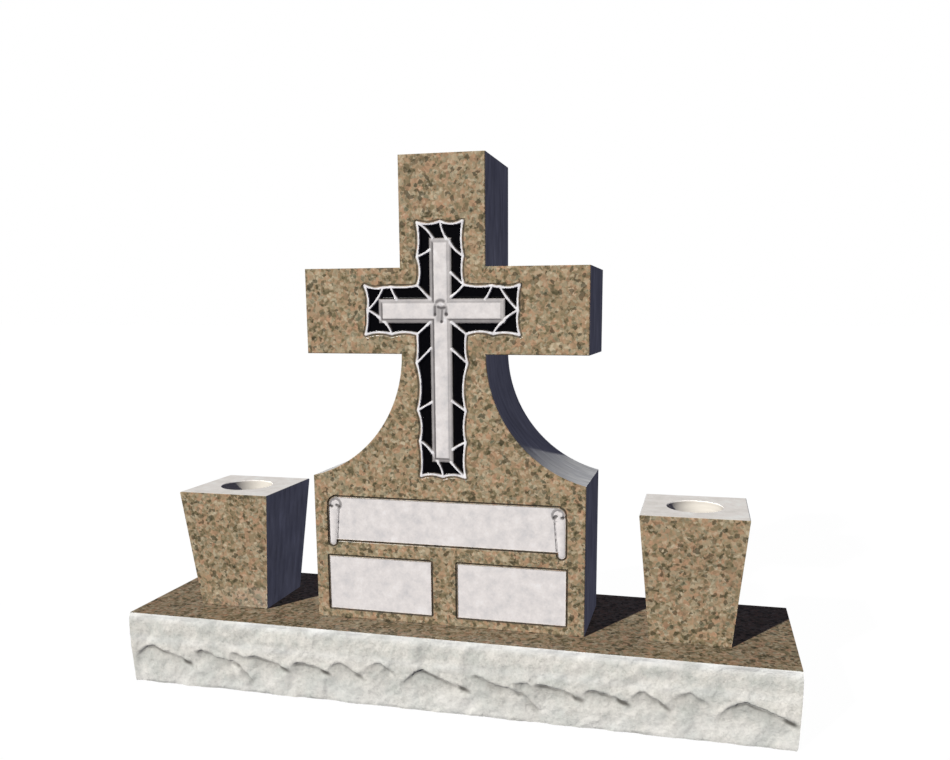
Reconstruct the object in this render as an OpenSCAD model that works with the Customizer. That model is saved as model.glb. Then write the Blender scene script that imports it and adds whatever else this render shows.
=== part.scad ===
// Cross-shaped granite headstone: a rock-pitched base, a cross die on curved
// shoulders, and a tapered flower vase at each end. Millimetres, +Z up.
// The origin is the middle of the underside of the base; the front faces -Y.

/* [Base] */
// Length of base beyond the foot of each vase
end_margin = 121; // [40:1:300]
// Width of the base from front to back
base_width = 345; // [280:1:520]
// Height of the base
base_height = 155; // [90:1:260]
// How far the pitched faces swell out just under the top edge
pitch_swell = 7; // [2:0.5:12]
// How deep the flaked hollows cut into the pitched faces
pitch_hollow = 15; // [6:1:22]
// Length of one flaked hollow
pitch_size = 92; // [60:1:160]

/* [Die] */
// Width of the die over its foot and shoulders
die_width = 566; // [540:1:640]
// Thickness of the die
die_thickness = 195; // [120:1:260]
// Height of the shoulders above the base
shoulder_height = 303; // [286:1:330]
// Height of the underside of the arms above the base
arm_underside = 553; // [540:1:600]
// Height of the arms, top to bottom
arm_height = 166; // [145:1:200]
// Height of the post above the arms
head_height = 209; // [170:1:320]
// Span of the arms
arm_span = 570; // [480:1:720]
// Width of the upright post
post_width = 171; // [150:1:190]
// How far the carving stands to the right of the die's middle
carving_shift = -4; // [-10:0.5:10]

/* [Carved cross] */
// Depth of the sunk field round the carved cross
carving_depth = 6; // [2:0.5:12]
// Half width of the field along its upper limb and arms
field_half = 46; // [40:1:60]
// Reach of the field above the crossing
field_head = 166; // [150:1:200]
// Reach of the field to each side of the crossing
field_arm = 156; // [140:1:190]
// Reach of the field below the crossing
field_foot = 325; // [312:1:345]
// Width of the standing line round the field
border_line = 4.2; // [2:0.1:6]
// Width of the standing veins across the field
vein_line = 4.8; // [2:0.1:6]
// Half width of the upright of the raised cross
upright_half = 22; // [16:0.5:26]
// Half height of the arms of the raised cross
crossbar_half = 23.5; // [18:0.5:30]
// Reach of the raised cross above the crossing
cross_head = 137; // [120:1:145]
// Reach of the raised cross to each side
cross_arm = 127.5; // [110:0.5:136]
// Reach of the raised cross below the crossing
cross_foot = 296.5; // [260:0.5:308]
// Width of the bevel round the raised cross
cross_bevel = 7; // [2:0.5:10]
// Width of the arched bud at the crossing
bud_width = 26; // [16:1:28]
// Width and depth of the grooves that draw the bud
bud_groove = 3; // [1:0.5:4]
// Height of the bud's arch above the crossing
bud_rise = 21; // [16:1:28]
// Reach of the bud's arch below the crossing
bud_leg = 9; // [4:1:16]
// Length of the bud's tail below the crossing
bud_tail = 22; // [16:1:36]

/* [Panels] */
// Margin between the side of the die and the panels
panel_margin = 33.5; // [20:0.5:60]
// Depth of the sunk panels
panel_depth = 3; // [1:0.5:6]
// Height of the lower panels' bottom edge above the base
panel_low = 20; // [10:0.5:40]
// Height of the two lower panels
panel_height = 112; // [80:0.5:125]
// Gap between the two lower panels
panel_gap = 56.5; // [30:0.5:100]
// Height of the scroll's bottom edge above the base
scroll_low = 169.5; // [164:0.5:200]
// Height of the scroll
scroll_height = 88.5; // [70:0.5:96]
// How far the scroll's ends stand in from the sides of the panels
scroll_inset = 2; // [0:0.5:12]
// Diameter of the scroll's rolled ends at the top
roll_top = 20; // [16:1:34]
// Diameter of the scroll's rolled ends at the bottom
roll_bottom = 13.5; // [10:0.5:24]
// How far the rolled ends hang below the scroll
roll_drop = 12.5; // [4:0.5:16]
// Width of the round curl at the head of each rolled end
curl_width = 27; // [20:1:36]
// Width of the rim of each curl, and of the groove inside it
curl_rim = 3.5; // [2:0.5:5]

/* [Vases] */
// Width of a vase across its top
vase_top = 203; // [170:1:230]
// Width of a vase across its foot
vase_foot = 156; // [150:1:200]
// Height of a vase
vase_height = 256; // [180:1:330]
// Gap between the side of the die and the foot of a vase
vase_gap = 126; // [50:1:300]
// How far the vases stand forward of the middle of the base
vase_forward = 10; // [0:1:40]
// Diameter of the hole in a vase
vase_bore = 108; // [80:1:124]
// Depth of the hole in a vase
vase_bore_depth = 180; // [60:1:240]

/* [Hidden] */
cut = 1;
roll_clear = 1;
crown_gap = 0.4;
vein_knot = 1.2;
front = -die_thickness / 2;

// The vases stand clear of the die, and the base runs on past them.
vase_offset = die_width / 2 + vase_gap + vase_foot / 2;
base_length = 2 * (vase_offset + vase_foot / 2 + end_margin);

// The carved cross has its crossing in the middle of the arms.
die_height = arm_underside + arm_height + head_height;
carving_height = arm_underside + arm_height / 2;

// Rock pitching: one column of points about every pitch_step along the edge.
pitch_step = 24;
pitch_rows = 7;
cells_high = 2;
long_steps = round(base_length / pitch_step);
short_steps = round(base_width / pitch_step);
half_steps = long_steps + short_steps;
half_run = base_length + base_width;
cells_round = round(half_run / pitch_size);

// How the pitched faces are shaped: where the swell is fullest, how far the foot
// comes back in, how wide the hollows open, and how soon below the top edge.
swell_bias = 0.45;
foot_return = 0.45;
hollow_reach = 0.75;
hollow_onset = 3;
cell_margin = 0.2;
hash_i = 127.1;
hash_j = 311.7;
hash_scale = 4375.85;

// A repeatable number from 0 to 1 for a pair of whole numbers.
function noise(i, j) = let (v = sin(i * hash_i + j * hash_j) * hash_scale) v - floor(v);

function blend(a, b, t) = a + (b - a) * t;

// Centre of the hollow in one cell, in cells; the pattern repeats half way round.
function hollow_centre(i, j) =
    let (wrapped = (i + cells_round) % cells_round, spread = 1 - 2 * cell_margin)
    [i, j] + cell_margin * [1, 1] + spread * [noise(wrapped, j), noise(wrapped + 31, j + 7)];

// Height on the scooped surface, 0 in a hollow's middle and about 1 on its ridges.
function scooped(u, v) = min([
    for (i = [floor(u) - 1 : floor(u) + 1])
        for (j = [-1 : cells_high])
            let (gap = hollow_centre(i, j) - [u, v]) gap * gap
]);

// Swell of a pitched face: 0 at the top edge, fullest just below it, back in at the foot.
function swell(drop) = pitch_swell * (sin(180 * pow(drop, swell_bias)) - foot_return * drop);

// Distance of the pitched face outside the edge line, at a run along it and a drop below the top.
function pitched(run, drop) =
    drop == 0 ? 0 : min(
        pitch_swell,
        swell(drop) - pitch_hollow * pow(sin(90 * min(1, drop * hollow_onset)), 2)
            * max(0, hollow_reach - scooped(run / half_run * cells_round, drop * cells_high))
    );

// Point k along half of the edge: the front from left to right, then the right end.
function edge_point(k) =
    k < long_steps
        ? [blend(-base_length / 2, base_length / 2, k / long_steps), -base_width / 2]
        : [base_length / 2, blend(-base_width / 2, base_width / 2, (k - long_steps) / short_steps)];

// Outward direction there, mitred at the corners.
function edge_out(k) = k == 0 ? [-1, -1] : k < long_steps ? [0, -1] : k == long_steps ? [1, -1] : [1, 0];

function edge_run(k) =
    k < long_steps ? base_length * k / long_steps
        : base_length + base_width * (k - long_steps) / short_steps;

function ring_point(k, drop) =
    let (
        m = k % half_steps,
        turn = k < half_steps ? 1 : -1,
        xy = edge_point(m) + edge_out(m) * pitched(edge_run(m), drop)
    )
    [turn * xy.x, turn * xy.y, base_height * (1 - drop)];

module base() {
    count = 2 * half_steps;
    skin = [
        for (row = [0 : pitch_rows])
            for (k = [0 : count - 1]) ring_point(k, row / pitch_rows)
    ];
    points = concat(skin, [[0, 0, base_height], [0, 0, 0]]);
    top_middle = len(skin);
    foot_middle = top_middle + 1;
    foot_ring = pitch_rows * count;
    sides = [
        for (row = [0 : pitch_rows - 1])
            for (k = [0 : count - 1])
                let (a = row * count + k, b = row * count + (k + 1) % count)
                for (face = [[a, b, a + count], [b, b + count, a + count]]) face
    ];
    top = [for (k = [0 : count - 1]) [top_middle, (k + 1) % count, k]];
    foot = [for (k = [0 : count - 1]) [foot_middle, foot_ring + k, foot_ring + (k + 1) % count]];
    color("gainsboro") polyhedron(points, concat(sides, top, foot), convexity = 4);
}

// Curved shoulders: each is one arc, upright where it meets the arms' underside
// and ending at the outer corner of the shoulder.
shoulder_run = (die_width - post_width) / 2;
shoulder_rise = arm_underside - shoulder_height;
shoulder_radius = (shoulder_run * shoulder_run + shoulder_rise * shoulder_rise) / (2 * shoulder_run);

module die_outline() {
    difference() {
        translate([-die_width / 2, 0]) square([die_width, arm_underside]);
        for (side = [-1, 1])
            translate([side * (post_width / 2 + shoulder_radius), arm_underside])
                circle(r = shoulder_radius, $fn = 96);
    }
    translate([-post_width / 2, shoulder_height]) square([post_width, die_height - shoulder_height]);
    translate([-arm_span / 2, arm_underside]) square([arm_span, arm_height]);
}

// Stands a flat outline on edge, its back at a depth behind the die's front face.
module upright_slab(depth, ahead = 0) {
    translate([0, front + depth, 0]) rotate([90, 0, 0]) linear_extrude(height = depth + ahead) children();
}

// Corners of the field round the carved cross, clockwise from the top left, each
// with the sag of the scalloped line that runs on from it.
field_nodes = [
    [-field_half + 1, field_head, 4], [1, field_head + 1, 5], [field_half - 1, field_head + 1, 3.5],
    [field_half - 1, 103, 3.5], [field_half, field_half + 3, 3],
    [102, field_half + 1, 1], [117, field_half - 1, 3.5],
    [field_arm - 1, field_half + 2, 2], [field_arm - 4, 1, 3], [field_arm - 1, -field_half + 1, 3.5],
    [104, -field_half + 3, 5], [field_half + 4, -field_half + 2, 3],
    [field_half + 6, -100, 7], [field_half + 2, -193, 4], [field_half + 1, -255, 3.5],
    [field_half, -field_foot, 4.5], [0, -field_foot, 4], [-field_half + 1, -field_foot, 3],
    [-field_half, -255, 5.5], [-field_half - 3, -193, 7], [-field_half - 4, -100, 2],
    [-field_half - 2, -field_half + 2, 4], [-101, -field_half + 2, 4],
    [-field_arm + 1, -field_half + 1, 2], [-field_arm + 6, 2, 4], [-field_arm + 1, field_half + 3, 3.5],
    [-117, field_half - 1, 0.5], [-101, field_half, 2],
    [-field_half, field_half + 2, 5], [-field_half, 103, 3.5]
];

function xy(p) = [p.x, p.y];

function corner(i) = xy(field_nodes[i]);

// Veins across the field, each from end to end. Those that meet the raised cross
// run in under its bevel.
tuck = 2;
in_x = upright_half - tuck;
in_y = crossbar_half - tuck;
veins = [
    [corner(0), [-14, cross_head]], [corner(1), [in_x, cross_head - 11]],
    [[in_x, cross_head - 11], corner(3)], [corner(29), [-in_x, 115]], [[in_x, 72], corner(4)],
    [corner(28), [-in_x, in_y]], [corner(4), [in_x, in_y + 4]], [corner(27), [-89, in_y]],
    [corner(26), corner(24)], [corner(24), [-cross_arm, -12]], [[-cross_arm, -12], corner(22)],
    [corner(5), [89, in_y]], [corner(6), corner(8)], [corner(8), [cross_arm - tuck, -16]],
    [[cross_arm - tuck, -16], corner(10)], [[-in_x, -in_y], corner(21)],
    [[in_x, -in_y], corner(11)], [[-in_x, -72], corner(20)], [[in_x, -73], corner(12)],
    [[-in_x, -177], corner(19)], [[in_x, -174], corner(13)], [corner(18), [-in_x, -279]],
    [[-in_x, -279], [-9, -cross_foot - 2]], [[-9, -cross_foot - 2], corner(16)],
    [corner(14), [in_x, -270]], [[17, -cross_foot + tuck], corner(15)]
];

bay_steps = 5;

function right_of(a, b) = let (d = b - a) [d.y, -d.x] / norm(d);

// Points along one scalloped bay, from its first corner up to its last.
function bay(a, b, sag) = [
    for (k = [0 : bay_steps - 1])
        let (t = k / bay_steps) blend(a, b, t) + right_of(a, b) * sag * 4 * t * (1 - t)
];

field_outline = [
    for (i = [0 : len(field_nodes) - 1])
        for (p = bay(corner(i), corner((i + 1) % len(field_nodes)), field_nodes[i][2])) p
];

// The outline drawn in by a distance, corner by corner.
function drawn_in(line, distance) = [
    for (i = [0 : len(line) - 1])
        let (
            n = len(line),
            before = right_of(line[(i + n - 1) % n], line[i]),
            after = right_of(line[i], line[(i + 1) % n]),
            along = before + after
        )
        line[i] + along * distance * 2 / max(1, along * along)
];

// One vein, a little swollen where it starts.
module strip(a, b, width) {
    side = right_of(a, b) * width / 2;
    polygon([a + side, b + side, b - side, a - side]);
    translate(a) circle(d = width + vein_knot, $fn = 24);
}

module sunk_field() {
    difference() {
        polygon(drawn_in(field_outline, border_line / 2));
        for (vein = veins) strip(vein[0], vein[1], vein_line);
    }
}

// One bar of the raised cross: bevelled on all four sides, from the sunk field to the face.
module bevelled_bar(left, right, low, high) {
    run = carving_depth + cut;
    reach = cross_bevel * run / carving_depth;
    intersection() {
        translate([0, 0, low])
            linear_extrude(height = high - low)
                polygon([
                    [left - reach + cross_bevel, front + run], [right + reach - cross_bevel, front + run],
                    [right - cross_bevel, front], [left + cross_bevel, front]
                ]);
        translate([left, 0, 0])
            rotate([90, 0, 90])
                linear_extrude(height = right - left)
                    polygon([
                        [front + run, low - reach + cross_bevel], [front, low + cross_bevel],
                        [front, high - cross_bevel], [front + run, high + reach - cross_bevel]
                    ]);
    }
}

// A round-headed arch of a given width, whose crown keeps the bud's height.
module arch(width, below) {
    spring = bud_rise - bud_width / 2;
    translate([0, spring]) circle(d = width, $fn = 32);
    translate([-width / 2, -below]) square([width, spring + below]);
}

// Grooves of the bud: its arch and a tail below.
module bud_grooves() {
    inner = bud_width - 2 * bud_groove;
    difference() {
        arch(bud_width, bud_leg);
        arch(inner, bud_leg + cut);
    }
    translate([-bud_groove / 2, -bud_tail]) square([bud_groove, bud_tail]);
}

module raised_cross() {
    difference() {
        union() {
            bevelled_bar(-upright_half, upright_half, -cross_foot, cross_head);
            bevelled_bar(-cross_arm, cross_arm, -crossbar_half, crossbar_half);
        }
        upright_slab(bud_groove, cut) bud_grooves();
    }
}

panel_edge = die_width / 2 - panel_margin;

module panel_openings() {
    for (side = [0, 1])
        mirror([side, 0])
            translate([panel_gap / 2, panel_low])
                square([panel_edge - panel_gap / 2, panel_height]);
}

// Middle of the rounded foot of a rolled end, and of the curl at its head.
scroll_edge = panel_edge - scroll_inset;
roll_x = scroll_edge - roll_bottom / 2;
roll_low = scroll_low - roll_drop + roll_bottom / 2;
curl_x = scroll_edge - roll_clear - curl_width / 2;
curl_z = scroll_low + scroll_height - roll_clear - curl_width / 2;

module scroll_opening() {
    translate([-scroll_edge, scroll_low]) square([2 * scroll_edge, scroll_height]);
    for (side = [-1, 1])
        translate([side * roll_x, roll_low]) {
            circle(d = roll_bottom, $fn = 32);
            translate([-roll_bottom / 2, 0]) square([roll_bottom, roll_drop]);
        }
}

// The tapering rod of a rolled end, lying in the sunk scroll just under the face.
module rod(side) {
    rod_foot = roll_bottom - 2 * roll_clear;
    drop = curl_z - roll_low;
    lean = atan((roll_top - rod_foot) / 2 / drop);
    translate([side * roll_x, front + rod_foot / 2 + crown_gap, roll_low])
        rotate([-lean, -side * lean, 0])
            cylinder(d1 = rod_foot, d2 = roll_top, h = drop, $fn = 32);
}

// A rolled end of the scroll: the rod with a round curl at its head.
module roll(side) {
    difference() {
        union() {
            rod(side);
            translate([side * curl_x, front + panel_depth + cut, curl_z])
                rotate([90, 0, 0]) cylinder(d = curl_width, h = panel_depth + cut, $fn = 32);
        }
        translate([side * curl_x, front + panel_depth / 2, curl_z])
            rotate([90, 0, 0])
                linear_extrude(height = panel_depth)
                    difference() {
                        circle(d = curl_width - 2 * curl_rim, $fn = 32);
                        circle(d = curl_width - 4 * curl_rim, $fn = 32);
                    }
    }
}

module die() {
    color("tan")
        translate([0, 0, base_height]) {
            difference() {
                upright_slab(die_thickness) die_outline();
                translate([carving_shift, 0, carving_height])
                    upright_slab(carving_depth, cut) sunk_field();
                translate([carving_shift, 0, 0]) {
                    upright_slab(panel_depth, cut) panel_openings();
                    upright_slab(panel_depth, cut) scroll_opening();
                }
            }
            translate([carving_shift, 0, carving_height]) raised_cross();
            translate([carving_shift, 0, 0])
                for (side = [-1, 1]) roll(side);
        }
}

// Solid with four equally sloping sides, standing on z = 0.
module tapered_block() {
    profile = [
        [-vase_foot / 2, 0], [vase_foot / 2, 0],
        [vase_top / 2, vase_height], [-vase_top / 2, vase_height]
    ];
    intersection() {
        translate([0, vase_top / 2, 0]) rotate([90, 0, 0]) linear_extrude(height = vase_top) polygon(profile);
        translate([-vase_top / 2, 0, 0])
            rotate([90, 0, 90]) linear_extrude(height = vase_top) polygon(profile);
    }
}

module vase(side) {
    color("tan")
        translate([side * vase_offset, -vase_forward, base_height])
            difference() {
                tapered_block();
                translate([0, 0, vase_height - vase_bore_depth])
                    cylinder(d = vase_bore, h = vase_bore_depth + cut, $fn = 64);
            }
}

module vase_left() { vase(-1); }

module vase_right() { vase(1); }

base();
die();
vase_left();
vase_right();
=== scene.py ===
"""A granite headstone: a cross with a carved face, on a rock-pitched base with two vases."""

import math

import bmesh
import bpy
import numpy as np
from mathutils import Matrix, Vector
from mathutils.geometry import delaunay_2d_cdt


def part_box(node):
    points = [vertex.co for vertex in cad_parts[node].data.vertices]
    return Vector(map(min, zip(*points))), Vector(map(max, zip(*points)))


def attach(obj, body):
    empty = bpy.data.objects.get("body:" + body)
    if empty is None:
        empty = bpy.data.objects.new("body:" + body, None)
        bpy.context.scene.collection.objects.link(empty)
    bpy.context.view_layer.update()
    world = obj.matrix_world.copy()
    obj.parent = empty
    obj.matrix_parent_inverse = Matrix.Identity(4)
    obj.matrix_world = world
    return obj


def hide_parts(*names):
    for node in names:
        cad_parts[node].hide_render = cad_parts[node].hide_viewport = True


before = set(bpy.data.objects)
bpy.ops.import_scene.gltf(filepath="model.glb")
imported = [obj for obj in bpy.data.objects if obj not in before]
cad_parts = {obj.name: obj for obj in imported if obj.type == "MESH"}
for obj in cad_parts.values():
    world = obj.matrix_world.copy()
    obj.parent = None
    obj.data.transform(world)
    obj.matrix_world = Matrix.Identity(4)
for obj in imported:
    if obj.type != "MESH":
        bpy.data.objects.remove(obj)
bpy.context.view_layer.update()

# ---------------------------------------- sizes, in millimetres
MM = 0.001
# Points nearer than WELD, in metres, are joined; edges that turn less than SHARP are
# shaded smooth; FAR is further off than anything in the part.
WELD = 2e-5
FAR = 1e9


def box_mm(node):
    """A CAD node's lowest and highest corners, in millimetres."""
    return [np.array(corner, float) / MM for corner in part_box(node)]


DIE_LOW, DIE_HIGH = box_mm("die")
BASE_HEIGHT = DIE_LOW[2]
DIE_HEIGHT = DIE_HIGH[2] - DIE_LOW[2]
FRONT = DIE_LOW[1]
BACK = DIE_HIGH[1]
ARRIS = 1.3

# The cross-shaped die; heights are above the top of the base.
ARM_REACH = DIE_HIGH[0]
DIE_HALF = 283.0
POST_HALF = 85.5
SHOULDER = 303.0
ARM_LOW = 553.0
ARM_HIGH = 719.0
ARC_STEPS = 40

# The carving stands a little left of the die's middle.
CARVING_SHIFT = -4.0

# The carved cross, measured from its crossing.
CROSSING = (ARM_LOW + ARM_HIGH) / 2
FIELD_HALF, FIELD_HEAD, FIELD_ARM, FIELD_FOOT = 46.0, 166.0, 156.0, 325.0
FIELD_DEPTH = 6.0
BORDER_HALF, VEIN_HALF, NODE_SWELL, NODE_REACH = 2.1, 2.8, 0.9, 9.0
UPRIGHT_HALF, BAR_HALF = 22.0, 23.5
CROSS_HEAD, CROSS_ARM, CROSS_FOOT = 137.0, 127.5, 296.5
CROSS_BEVEL, BEVEL_DROP = 7.0, 1.8
BAY_STEPS = 8

# The sunk panels and the scroll.
PANEL_EDGE, PANEL_INNER = 249.5, 28.25
PANEL_LOW, PANEL_TOP = 20.0, 132.0
SCROLL_EDGE = 247.5
SCROLL_LOW, SCROLL_TOP = 169.5, 258.0
PANEL_DEPTH, GROOVE_DEPTH = 1.4, 2.4
GROOVE_OFF, GROOVE_HALF = 2.7, 2.3
ROLL_FOOT_RADIUS, ROLL_HEAD_RADIUS, ROLL_TIP, ROLL_HEAD = 6.9, 10.2, 157.0, 234.0
CURL_RADIUS, CURL_AT = 13.5, (14.5, 243.5)

# The base: its straight top edge, and the flaked faces under it.
BASE_HALF = np.array([687.0, 173.0])
PITCH_RUN = 2.6
SWELL = 3.0

# The vases.
VASE_TOP_HALF, VASE_FOOT_HALF = 101.5, 78.0
BORE_RADIUS, BORE_DEPTH, BORE_STEPS = 54.0, 180.0, 96
BORE_RIM, BORE_FILLET = 1.5, 4.0

SHARP = math.radians(32)
rng = np.random.default_rng(62)


# ---------------------------------------- plane geometry
def ease(t):
    """A smooth step from 0 to 1."""
    t = np.clip(t, 0.0, 1.0)
    return t * t * (3 - 2 * t)


def box_distance(x, z, low, high):
    """Signed distance to a rectangle, negative inside."""
    dx = np.abs(x - (low[0] + high[0]) / 2) - (high[0] - low[0]) / 2
    dz = np.abs(z - (low[1] + high[1]) / 2) - (high[1] - low[1]) / 2
    outside = np.hypot(np.maximum(dx, 0), np.maximum(dz, 0))
    return outside + np.minimum(np.maximum(dx, dz), 0)


def segment_distance(x, z, a, b, taper=(0.0, 0.0)):
    """Distance to a segment, less a radius that may taper along it."""
    ex, ez = b[0] - a[0], b[1] - a[1]
    t = np.clip(((x - a[0]) * ex + (z - a[1]) * ez) / (ex * ex + ez * ez), 0, 1)
    gap = np.hypot(x - a[0] - t * ex, z - a[1] - t * ez)
    return gap - (taper[0] + t * (taper[1] - taper[0]))


def path_distance(x, z, points, closed=False):
    """Distance to a line through the points."""
    ends = points[1:] + points[:1] if closed else points[1:]
    gap = np.full(np.shape(x), FAR)
    for a, b in zip(points, ends):
        gap = np.minimum(gap, segment_distance(x, z, a, b))
    return gap


def inside(x, z, points):
    """Which of the places lie inside a closed line."""
    within = np.zeros(np.shape(x), bool)
    for (ax, az), (bx, bz) in zip(points, points[1:] + points[:1]):
        if az != bz:
            crosses = (az > z) != (bz > z)
            within ^= crosses & (x < (bx - ax) * (z - az) / (bz - az) + ax)
    return within


def arc(centre, radius, start, end, steps):
    """Points along a circle's arc, angles in degrees."""
    angles = np.radians(np.linspace(start, end, steps + 1))
    return [(centre[0] + radius * math.cos(a), centre[1] + radius * math.sin(a)) for a in angles]


def right_of(a, b):
    """The unit direction to the right of the way from a to b."""
    dx, dz = b[0] - a[0], b[1] - a[1]
    length = math.hypot(dx, dz)
    return dz / length, -dx / length


def drawn_in(points, distance):
    """A closed clockwise line drawn in by a distance."""
    out = []
    for before, here, after in zip(points[-1:] + points[:-1], points, points[1:] + points[:1]):
        a, b = right_of(before, here), right_of(here, after)
        sx, sz = a[0] + b[0], a[1] + b[1]
        k = 2 * distance / max(1.0, sx * sx + sz * sz)
        out.append((here[0] + sx * k, here[1] + sz * k))
    return out


# ---------------------------------------- the carved face of the die
# Corners of the field round the cross, clockwise from the top left, each with
# the sag of the scalloped line that runs on from it.
H = FIELD_HALF
FIELD_NODES = [
    (1 - H, FIELD_HEAD, 4), (1, FIELD_HEAD + 1, 5), (H - 1, FIELD_HEAD + 1, 3.5),
    (H - 1, 103, 3.5), (H, H + 3, 3), (102, H + 1, 1), (117, H - 1, 3.5),
    (FIELD_ARM - 1, H + 2, 2), (FIELD_ARM - 4, 1, 3), (FIELD_ARM - 1, 1 - H, 3.5),
    (104, 3 - H, 5), (H + 4, 2 - H, 3), (H + 6, -100, 7), (H + 2, -193, 4), (H + 1, -255, 3.5),
    (H, -FIELD_FOOT, 4.5), (0, -FIELD_FOOT, 4), (1 - H, -FIELD_FOOT, 3),
    (-H, -255, 5.5), (-H - 3, -193, 7), (-H - 4, -100, 2), (-H - 2, 2 - H, 4), (-101, 2 - H, 4),
    (1 - FIELD_ARM, 1 - H, 2), (6 - FIELD_ARM, 2, 4), (1 - FIELD_ARM, H + 3, 3.5),
    (-117, H - 1, 0.5), (-101, H, 2), (-H, H + 2, 5), (-H, 103, 3.5),
]


def corner(i):
    """The place of one of the field's nodes."""
    return FIELD_NODES[i][:2]


# Veins across the field. Each has its ends, and how far it bows to its right.
EDGE_X, EDGE_Z = UPRIGHT_HALF - 1, BAR_HALF - 1
VEINS = [
    (corner(0), (-14, CROSS_HEAD), -3), (corner(1), (EDGE_X, CROSS_HEAD - 11), 4),
    ((EDGE_X, CROSS_HEAD - 11), corner(3), 2), (corner(29), (-EDGE_X, 115), 1),
    ((EDGE_X, 72), corner(4), 0), (corner(28), (-EDGE_X, EDGE_Z), 0),
    (corner(4), (EDGE_X, EDGE_Z + 4), -1), (corner(27), (-89, EDGE_Z), 1),
    (corner(26), corner(24), -3), (corner(24), (-CROSS_ARM, -12), -1),
    ((-CROSS_ARM, -12), corner(22), -4), (corner(5), (89, EDGE_Z), -1),
    (corner(6), corner(8), 2), (corner(8), (CROSS_ARM - 1, -16), 1),
    ((CROSS_ARM - 1, -18), corner(10), 2), ((-EDGE_X, -EDGE_Z + 1), corner(21), 0),
    ((EDGE_X, -EDGE_Z + 1), corner(11), 0), ((-EDGE_X, -72), corner(20), 0),
    ((EDGE_X, -73), corner(12), 0), ((-EDGE_X, -177), corner(19), 0),
    ((EDGE_X, -174), corner(13), 0), (corner(18), (-EDGE_X, -279), -2),
    ((-EDGE_X, -277), (-9, -CROSS_FOOT - 2), -1), ((-9, -CROSS_FOOT - 2), corner(16), -2),
    (corner(14), (EDGE_X, -270), 1), ((17, -CROSS_FOOT + 1), corner(15), 1),
]


def bowed(a, b, sag, steps):
    """Points from a up to b along a shallow curve that bows to the right."""
    rx, rz = right_of(a, b)
    points = []
    for k in range(steps):
        t = k / steps
        bow = sag * 4 * t * (1 - t)
        points.append((a[0] + (b[0] - a[0]) * t + rx * bow, a[1] + (b[1] - a[1]) * t + rz * bow))
    return points


FIELD_LINE = [
    point
    for i, (x, z, sag) in enumerate(FIELD_NODES)
    for point in bowed((x, z), corner((i + 1) % len(FIELD_NODES)), sag, BAY_STEPS)
]
VEIN_LINES = [bowed(a, b, sag, 5) + [b] for a, b, sag in VEINS]

# The small bud cut at the crossing: an arched hood over a folded bloom and a tail.
# Each stroke has its line, its half width and how dark its painted shade is; each drop a place
# and a radius. The lights are painted highlights, each with a place, two radii and a tilt.
BUD_STROKES = [
    ([(-11.2, -7.5), (-11.2, 8)], 4.6, 0.95),
    (arc((0, 8), 10.8, 178, 140, 5), 4.0, 0.5),
    (arc((0, 9), 11.0, 135, 55, 8), 5.0, 0.8),
    (arc((0, 8), 10.8, 50, 5, 5), 3.6, 0.3),
    ([(11.2, 7), (11.2, -6)], 4.4, 0.66),
    ([(-5, 7.0), (1, 5.4), (8, 6.4)], 5.2, 1.0),
    ([(3.2, 4), (2.2, -12), (1.8, -19.5)], 4.6, 0.78),
    ([(-4.0, 4), (-4.0, -17)], 7.5, 0.5),
    ([(6, 4), (6, -4)], 6.0, 0.3),
]
BUD_DROPS = [(-11.2, -6.5, 3.0), (11.2, -6.4, 4.2), (1.5, -20.5, 3.3)]
BUD_LIGHTS = [((1.4, 12.2), (6.5, 2.6), 0), ((8.6, -19.0), (2.8, 6.5), 0)]


def within_cross(x, z):
    """Distance in from the edge of the raised cross."""
    return -np.minimum(
        box_distance(x, z, (-UPRIGHT_HALF, -CROSS_FOOT), (UPRIGHT_HALF, CROSS_HEAD)),
        box_distance(x, z, (-CROSS_ARM, -BAR_HALF), (CROSS_ARM, BAR_HALF)),
    )


def pocket(u, v, centre, radii, tilt):
    """1 in the middle of a tilted oval, 0 outside it."""
    c, s = math.cos(math.radians(tilt)), math.sin(math.radians(tilt))
    p = ((u - centre[0]) * c + (v - centre[1]) * s) / radii[0]
    q = ((v - centre[1]) * c - (u - centre[0]) * s) / radii[1]
    return 1 - ease((np.hypot(p, q) - 0.55) / 0.6)


def bud(x, z):
    """Strokes and drops of the bud, cut in and painted with shade, and its painted highlights, each from
    0 to 1.
    """
    stroke = np.zeros(np.shape(x))
    for line, half, tone in BUD_STROKES:
        stroke = np.maximum(stroke, tone * (1 - ease((path_distance(x, z, line) / half - 0.1) / 1.0)))
    drop = np.zeros(np.shape(x))
    for cx, cz, radius in BUD_DROPS:
        drop = np.maximum(drop, 1 - ease((np.hypot(x - cx, z - cz) / radius - 0.5) / 0.7))
    light = np.zeros(np.shape(x))
    for centre, radii, tilt in BUD_LIGHTS:
        light = np.maximum(light, pocket(x, z, centre, radii, tilt))
    return stroke, drop, light


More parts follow.
